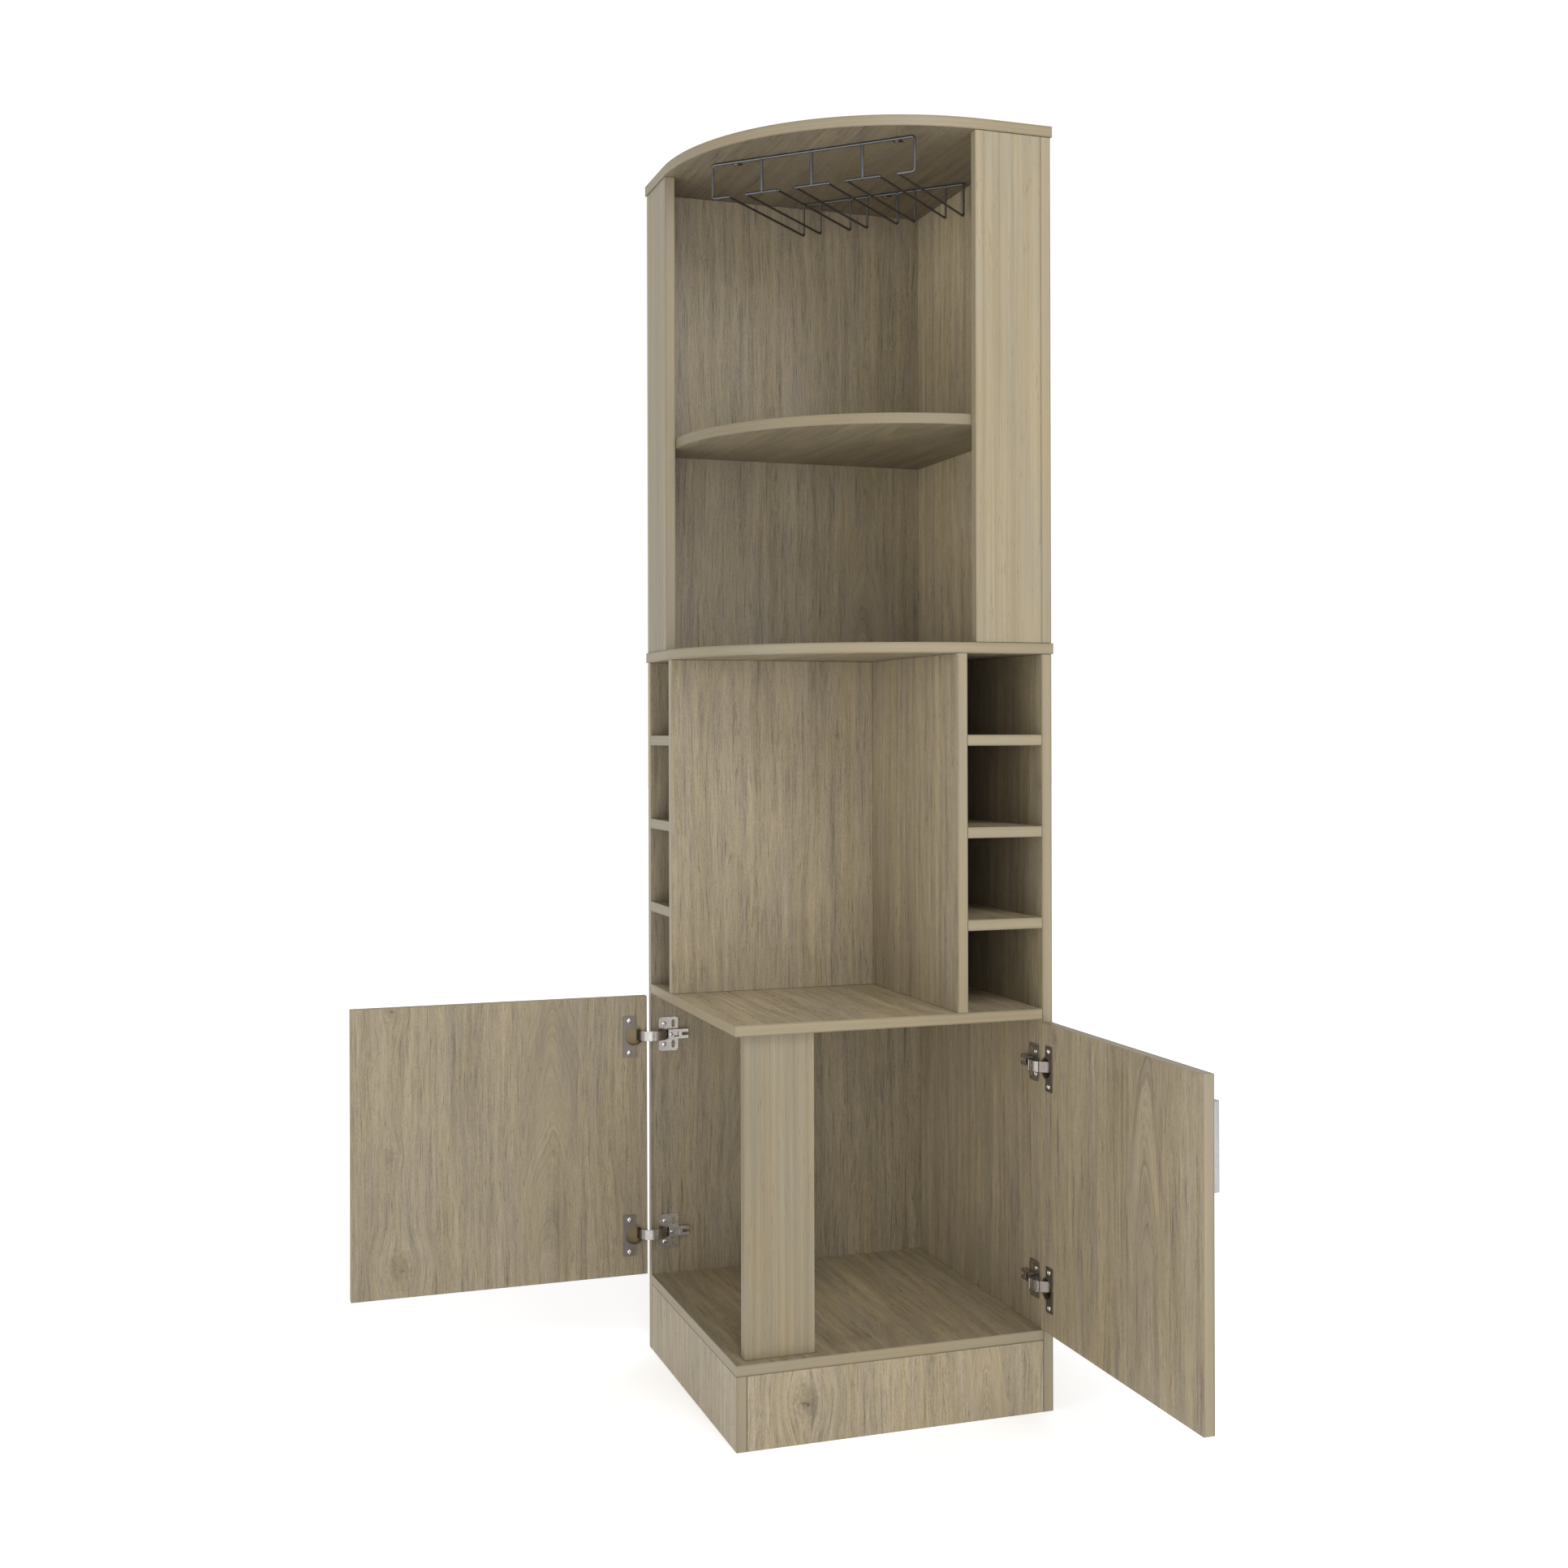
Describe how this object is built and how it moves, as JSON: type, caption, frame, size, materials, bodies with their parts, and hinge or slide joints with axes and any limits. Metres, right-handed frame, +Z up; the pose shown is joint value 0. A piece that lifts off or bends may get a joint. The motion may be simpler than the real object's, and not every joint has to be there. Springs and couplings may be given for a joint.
{
  "type": "corner bar cabinet",
  "caption": "Tall corner bar cabinet with a cupboard, bottle cubbies, an open niche, round shelves and a hanging wire stemware rack.",
  "frame": {"origin": "the corner of the room that the cabinet stands in: the floor point where the two walls meet", "axes": "+Z up; the right-hand wall is the plane x = 0 and the left-hand wall the plane y = 0, so the cabinet fills -X and -Y"},
  "size_m": [0.916, 0.931, 1.7599],
  "materials": {
    "laminated_board": "satin",
    "handle_metal": "satin",
    "hinge_steel": "bright",
    "rack_wire": "satin"
  },
  "bodies": {
    "carcass": {"bottom_shelf": "laminated_board", "corner_post": "laminated_board", "front_plinth": "laminated_board", "left_plinth": "laminated_board", "left_rack_divider": "laminated_board", "left_rack_shelf_1": "laminated_board", "left_rack_shelf_2": "laminated_board", "left_rack_shelf_3": "laminated_board", "left_stile": "laminated_board", "lower_left_panel": "laminated_board", "lower_right_panel": "laminated_board", "middle_board": "laminated_board", "middle_shelf": "laminated_board", "right_rack_divider": "laminated_board", "right_rack_shelf_1": "laminated_board", "right_rack_shelf_2": "laminated_board", "right_rack_shelf_3": "laminated_board", "right_stile": "laminated_board", "top_board": "laminated_board", "upper_left_panel": "laminated_board", "upper_right_panel": "laminated_board", "worktop_shelf": "laminated_board", "right_upper_hinge_plate": "hinge_steel", "right_upper_hinge_arm": "hinge_steel", "right_lower_hinge_plate": "hinge_steel", "right_lower_hinge_arm": "hinge_steel", "left_upper_hinge_plate": "hinge_steel", "left_upper_hinge_arm": "hinge_steel", "left_lower_hinge_plate": "hinge_steel", "left_lower_hinge_arm": "hinge_steel", "rack_front_frame": "rack_wire", "rack_rail_1": "rack_wire", "rack_rail_2": "rack_wire", "rack_rail_3": "rack_wire", "rack_rail_4": "rack_wire", "rack_rail_5": "rack_wire", "rack_rail_6": "rack_wire", "rack_rail_7": "rack_wire", "rack_rail_8": "rack_wire", "rack_rear_bar": "rack_wire"},
    "right_door": {"right_door": "laminated_board", "right_handle": "handle_metal", "right_upper_hinge_cup": "hinge_steel", "right_upper_cup_top_screw": "hinge_steel", "right_upper_cup_bottom_screw": "hinge_steel", "right_lower_hinge_cup": "hinge_steel", "right_lower_cup_top_screw": "hinge_steel", "right_lower_cup_bottom_screw": "hinge_steel"},
    "left_door": {"left_door": "laminated_board", "left_handle": "handle_metal", "left_upper_hinge_cup": "hinge_steel", "left_upper_cup_top_screw": "hinge_steel", "left_upper_cup_bottom_screw": "hinge_steel", "left_lower_hinge_cup": "hinge_steel", "left_lower_cup_top_screw": "hinge_steel", "left_lower_cup_bottom_screw": "hinge_steel"},
    "right_upper_link": {"right_upper_hinge_link": "hinge_steel"},
    "right_lower_link": {"right_lower_hinge_link": "hinge_steel"},
    "left_upper_link": {"left_upper_hinge_link": "hinge_steel"},
    "left_lower_link": {"left_lower_hinge_link": "hinge_steel"}
  },
  "joints": [
    {"name": "right_door_swing", "type": "hinge", "parent": "carcass", "child": "right_door", "pos_m": [-0.00975, -0.46825, 0.326], "axis": [0, 0, 1], "range_deg": [-90, 15]},
    {"name": "left_door_swing", "type": "hinge", "parent": "carcass", "child": "left_door", "pos_m": [-0.45325, -0.00975, 0.326], "axis": [0, 0, -1], "range_deg": [-90, 15]},
    {"name": "right_upper_link_turn", "type": "hinge", "parent": "carcass", "child": "right_upper_link", "pos_m": [-0.00975, -0.46825, 0.4752], "axis": [0, 0, 1], "range_deg": [-45, 7.5]},
    {"name": "right_lower_link_turn", "type": "hinge", "parent": "carcass", "child": "right_lower_link", "pos_m": [-0.00975, -0.46825, 0.1767], "axis": [0, 0, 1], "range_deg": [-45, 7.5]},
    {"name": "left_upper_link_turn", "type": "hinge", "parent": "carcass", "child": "left_upper_link", "pos_m": [-0.45325, -0.00975, 0.4752], "axis": [0, 0, -1], "range_deg": [-45, 7.5]},
    {"name": "left_lower_link_turn", "type": "hinge", "parent": "carcass", "child": "left_lower_link", "pos_m": [-0.45325, -0.00975, 0.1767], "axis": [0, 0, -1], "range_deg": [-45, 7.5]}
  ],
  "couplings": [
    {"joint": "right_upper_link_turn", "follows": "right_door_swing", "ratio": 0.5},
    {"joint": "right_lower_link_turn", "follows": "right_door_swing", "ratio": 0.5},
    {"joint": "left_upper_link_turn", "follows": "left_door_swing", "ratio": 0.5},
    {"joint": "left_lower_link_turn", "follows": "left_door_swing", "ratio": 0.5}
  ]
}
